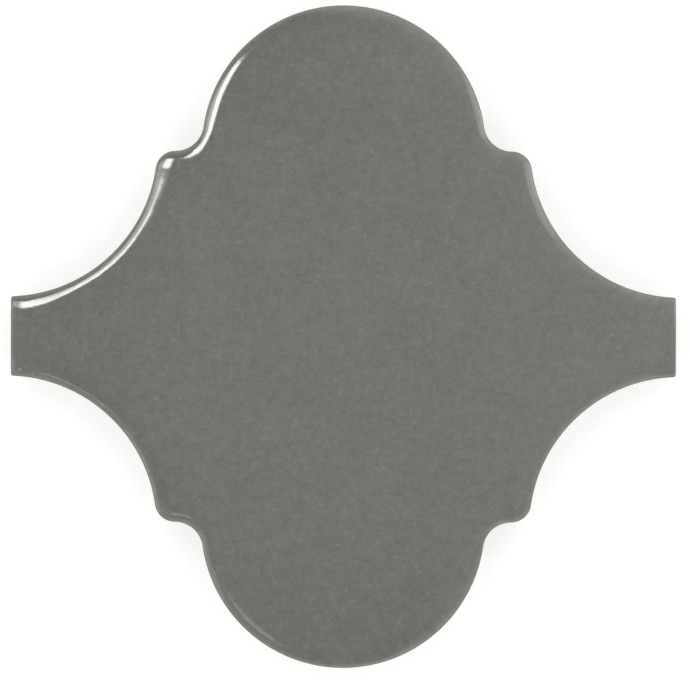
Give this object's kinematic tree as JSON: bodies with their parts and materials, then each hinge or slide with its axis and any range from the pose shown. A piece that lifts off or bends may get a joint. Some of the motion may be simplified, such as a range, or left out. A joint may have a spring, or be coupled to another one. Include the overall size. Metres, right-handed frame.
{
  "type": "ceramic wall tile",
  "caption": "Lantern-shaped glazed wall tile with round lobes, flat-ended arms, a rolled face edge and a keyed back.",
  "frame": {"origin": "middle of the back, on the plane of its ribs", "axes": "+Z out of the glazed face, +X from arm to arm, +Y from lobe to lobe"},
  "size_m": [0.12, 0.1196, 0.008],
  "materials": {
    "glaze": "glossy warm grey glaze on the face and down the sides, bare off-white clay on the back"
  },
  "bodies": {
    "root": {"glazed_tile": "glaze"}
  },
  "joints": []
}
